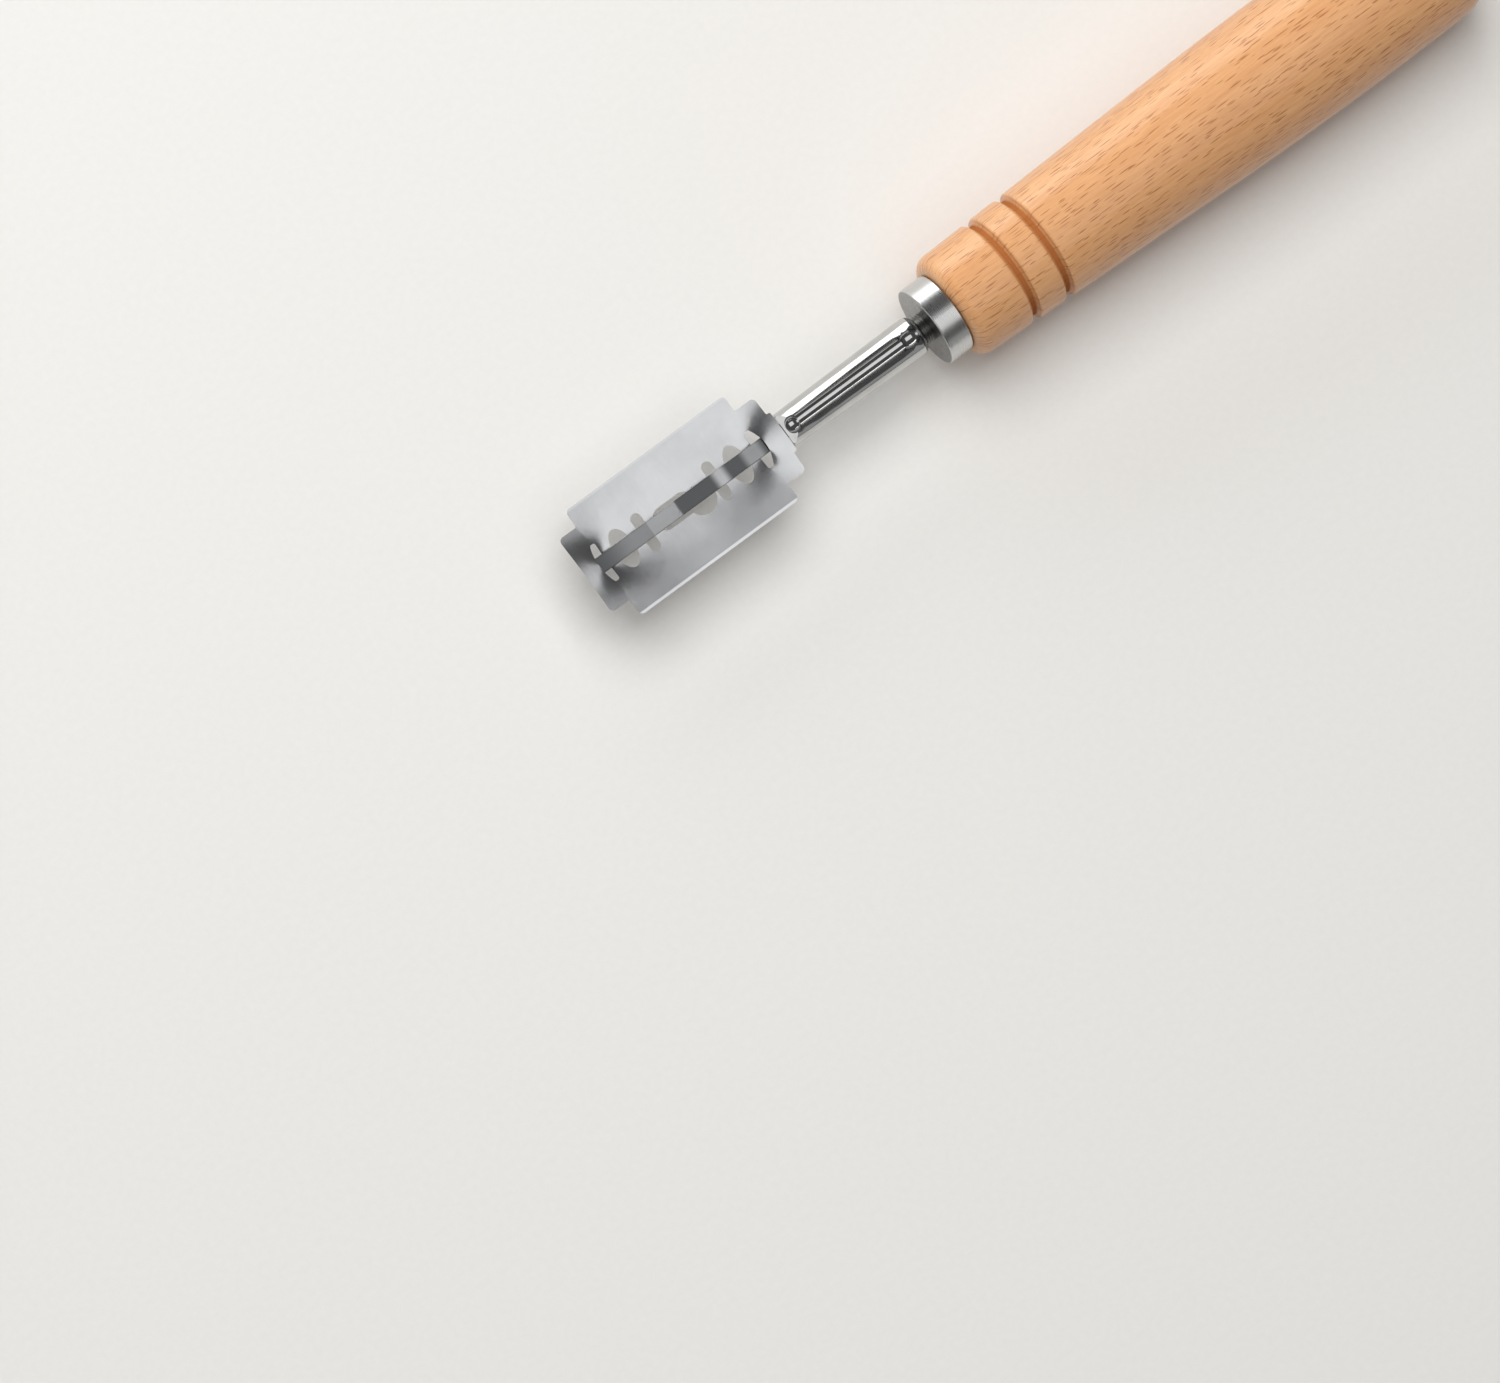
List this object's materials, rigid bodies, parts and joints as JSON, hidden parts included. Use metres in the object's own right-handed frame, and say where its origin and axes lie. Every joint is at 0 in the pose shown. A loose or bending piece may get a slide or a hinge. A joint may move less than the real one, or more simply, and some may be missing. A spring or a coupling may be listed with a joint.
{
  "type": "bread lame",
  "caption": "Scoring tool for bread dough: a turned wooden handle with a slim fluted metal shank and a flat bar that holds a bowed double-edge razor blade.",
  "frame": {"origin": "centre of the handle's flat butt face, on the tool's axis", "axes": "+X along the tool's axis from the butt to the blade's tip, +Z out of the upper face of the blade, on the side where the shank is fluted, +Y across the blade"},
  "size_m": [0.1909, 0.0242, 0.0242],
  "materials": {
    "beech": "satin lacquer over fine-pored beech with short dark flecks",
    "ferrule_steel": "satin, turned",
    "stud_steel": "turned",
    "shank_steel": "polished",
    "bar_steel": "polished",
    "blade_steel": "satin, with bright ground edges"
  },
  "bodies": {
    "handle_body": {"handle": "beech", "ferrule": "ferrule_steel", "tang_stud": "stud_steel", "shank": "shank_steel", "blade_bar": "bar_steel"},
    "blade_body": {"razor_blade": "blade_steel"}
  },
  "joints": [
    {"name": "blade_slide", "type": "slide", "parent": "handle_body", "child": "blade_body", "axis": [1, 0, 0], "range_m": [0, 0.046]}
  ]
}
